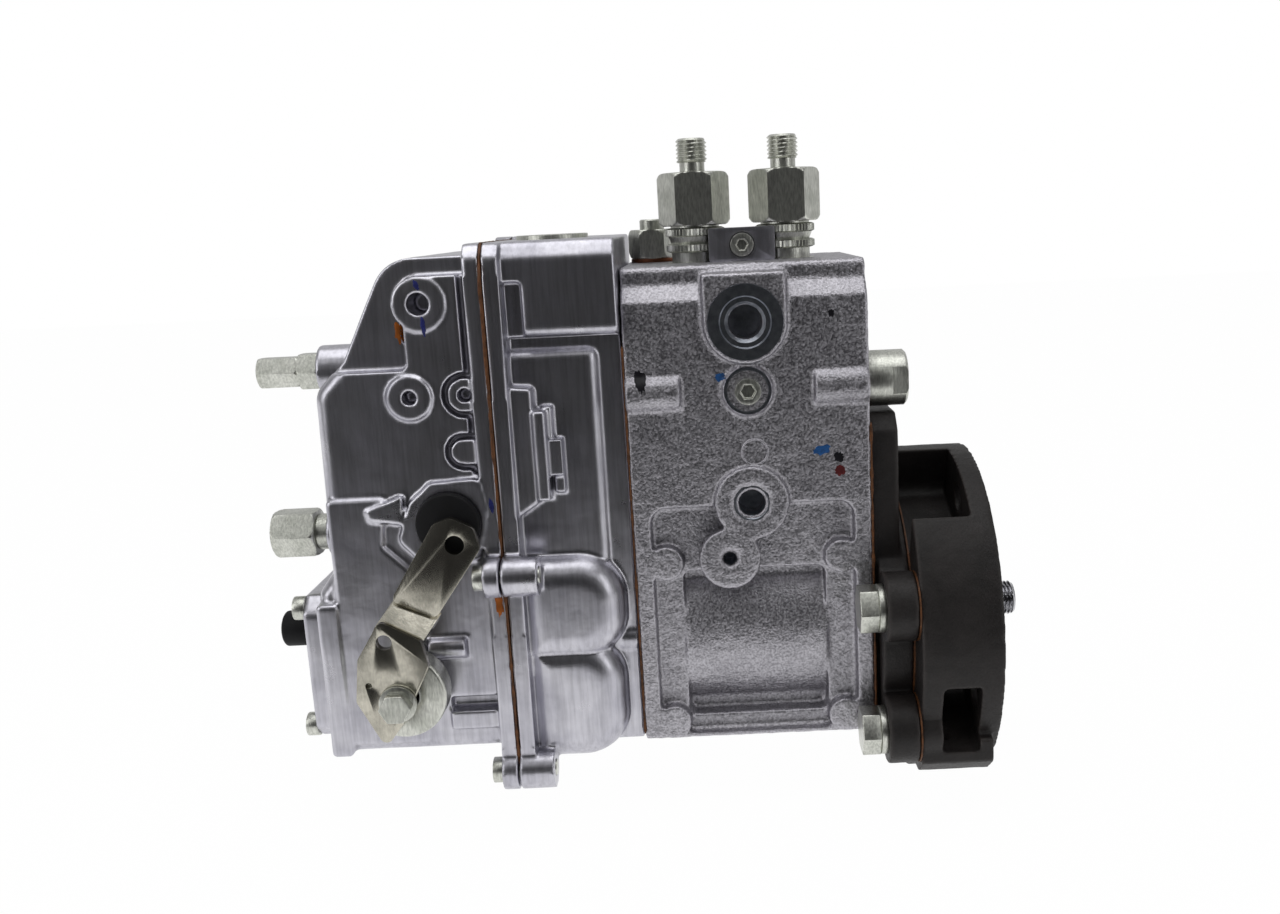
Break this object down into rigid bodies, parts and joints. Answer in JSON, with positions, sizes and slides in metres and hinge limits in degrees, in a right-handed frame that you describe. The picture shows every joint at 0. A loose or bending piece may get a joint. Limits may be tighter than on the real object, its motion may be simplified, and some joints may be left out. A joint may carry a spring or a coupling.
{
  "type": "diesel injection pump",
  "caption": "In-line diesel injection pump with a centrifugal governor, delivery valve outlets on top, a control lever and a round flange to the engine.",
  "frame": {"origin": "camshaft axis at the engine face of the adapter", "axes": "+X along the camshaft out of the drive end, +Z towards the outlets, -Y out of the side with the fuel inlet"},
  "size_m": [0.294, 0.1416, 0.255],
  "materials": {
    "sand_cast_aluminium": "rough sand casting",
    "die_cast_aluminium": "die cast, slightly dulled",
    "cast_iron": "phosphated dark cast iron",
    "zinc_steel": "zinc plated",
    "lever_steel": "olive chromated zinc",
    "copper": "soft copper",
    "rubber": "matt black",
    "gasket": "brown sealant and fibre",
    "spring_steel": "oiled spring wire",
    "hardened_steel": "ground steel"
  },
  "bodies": {
    "housing": {"pump_housing": "sand_cast_aluminium", "rack_cap": "zinc_steel", "plunger_barrels": "hardened_steel", "delivery_valve_seats": "hardened_steel", "delivery_valve_holders": "zinc_steel", "delivery_valve_springs": "spring_steel", "holder_clamp": "die_cast_aluminium", "holder_clamp_screw": "zinc_steel", "bleed_screw": "zinc_steel", "overflow_fitting": "zinc_steel", "overflow_washer": "copper", "bearing_outer_races": "hardened_steel", "plunger_springs": "spring_steel", "upper_spring_seats": "hardened_steel", "bearing_plate": "cast_iron", "shaft_seal": "rubber", "engine_adapter": "cast_iron", "adapter_bolts": "zinc_steel", "adapter_bolt_washers": "zinc_steel", "governor_housing": "die_cast_aluminium", "governor_top_plug": "zinc_steel", "governor_cover": "die_cast_aluminium", "end_cover": "die_cast_aluminium", "end_cover_screws": "zinc_steel", "shut_off_cap": "rubber", "governor_bolts": "zinc_steel", "tension_lever_pin": "hardened_steel", "lever_spring_cup": "zinc_steel", "full_load_nut": "zinc_steel", "full_load_cap": "zinc_steel", "idle_cap": "zinc_steel", "round_plug": "rubber", "governor_spring": "spring_steel", "joint_gaskets": "gasket"},
    "camshaft": {"camshaft": "hardened_steel", "camshaft_key": "hardened_steel", "bearing_inner_rings": "hardened_steel", "weight_carrier": "hardened_steel", "weight_pins": "hardened_steel"},
    "tappet_1": {"tappet_1": "hardened_steel", "plunger_1": "hardened_steel"},
    "tappet_2": {"tappet_2": "hardened_steel", "plunger_2": "hardened_steel"},
    "roller_1": {"tappet_roller_1": "hardened_steel"},
    "roller_2": {"tappet_roller_2": "hardened_steel"},
    "valve_1": {"delivery_valve_1": "hardened_steel"},
    "valve_2": {"delivery_valve_2": "hardened_steel"},
    "sleeve_1": {"control_sleeve_1": "hardened_steel"},
    "sleeve_2": {"control_sleeve_2": "hardened_steel"},
    "rack": {"control_rack": "hardened_steel", "rack_link": "hardened_steel"},
    "weight_upper": {"flyweight_upper": "hardened_steel"},
    "weight_lower": {"flyweight_lower": "hardened_steel"},
    "slider": {"governor_sleeve": "hardened_steel"},
    "tension_arm": {"tension_lever": "hardened_steel"},
    "lever": {"control_lever": "lever_steel", "lever_shaft": "hardened_steel", "lever_bolt_and_washer": "zinc_steel"}
  },
  "joints": [
    {"name": "camshaft_spin", "type": "hinge", "parent": "housing", "child": "camshaft", "pos_m": [0, 0, 0], "axis": [1, 0, 0], "continuous": true},
    {"name": "tappet_stroke_1", "type": "slide", "parent": "housing", "child": "tappet_1", "axis": [0, 0, 1], "range_m": [-0.008, 0], "deforming": ["plunger_springs"]},
    {"name": "roller_spin_1", "type": "hinge", "parent": "tappet_1", "child": "roller_1", "pos_m": [-0.1052, 0, 0.0294], "axis": [1, 0, 0], "continuous": true},
    {"name": "valve_lift_1", "type": "slide", "parent": "housing", "child": "valve_1", "axis": [0, 0, 1], "range_m": [0, 0.003], "deforming": ["delivery_valve_springs"]},
    {"name": "tappet_stroke_2", "type": "slide", "parent": "housing", "child": "tappet_2", "axis": [0, 0, 1], "range_m": [-0.008, 0]},
    {"name": "roller_spin_2", "type": "hinge", "parent": "tappet_2", "child": "roller_2", "pos_m": [-0.0702, 0, 0.0294], "axis": [1, 0, 0], "continuous": true},
    {"name": "valve_lift_2", "type": "slide", "parent": "housing", "child": "valve_2", "axis": [0, 0, 1], "range_m": [0, 0.003]},
    {"name": "rack_travel", "type": "slide", "parent": "housing", "child": "rack", "axis": [1, 0, 0], "range_m": [-0.009, 0.009], "deforming": ["governor_spring"]},
    {"name": "sleeve_turn_1", "type": "hinge", "parent": "housing", "child": "sleeve_1", "pos_m": [-0.1052, 0, 0.098], "axis": [0, 0, 1], "range_deg": [-23, 23]},
    {"name": "sleeve_turn_2", "type": "hinge", "parent": "housing", "child": "sleeve_2", "pos_m": [-0.0702, 0, 0.098], "axis": [0, 0, 1], "range_deg": [-23, 23]},
    {"name": "tension_swing", "type": "hinge", "parent": "housing", "child": "tension_arm", "pos_m": [-0.1953, -0.018, 0.025], "axis": [0, 1, 0], "range_deg": [-7.1, 7.1]},
    {"name": "slider_travel", "type": "slide", "parent": "camshaft", "child": "slider", "axis": [1, 0, 0], "range_m": [-0.0031, 0.0031]},
    {"name": "weight_swing_upper", "type": "hinge", "parent": "camshaft", "child": "weight_upper", "pos_m": [-0.1612, 0, 0.02], "axis": [0, 1, 0], "range_deg": [-17.8, 17.8]},
    {"name": "weight_swing_lower", "type": "hinge", "parent": "camshaft", "child": "weight_lower", "pos_m": [-0.1612, 0, -0.02], "axis": [0, 1, 0], "range_deg": [-17.8, 17.8]},
    {"name": "lever_swing", "type": "hinge", "parent": "housing", "child": "lever", "pos_m": [-0.2189, -0.06, -0.005], "axis": [0, 1, 0], "range_deg": [-50, 0]}
  ],
  "couplings": [
    {"joint": "sleeve_turn_1", "follows": "rack_travel", "rad_per_m": 44.444},
    {"joint": "sleeve_turn_2", "follows": "rack_travel", "rad_per_m": 44.444},
    {"joint": "tension_swing", "follows": "rack_travel", "rad_per_m": 13.699},
    {"joint": "slider_travel", "follows": "rack_travel", "ratio": -0.34247},
    {"joint": "weight_swing_upper", "follows": "rack_travel", "rad_per_m": 34.247},
    {"joint": "weight_swing_lower", "follows": "rack_travel", "rad_per_m": -34.247}
  ]
}
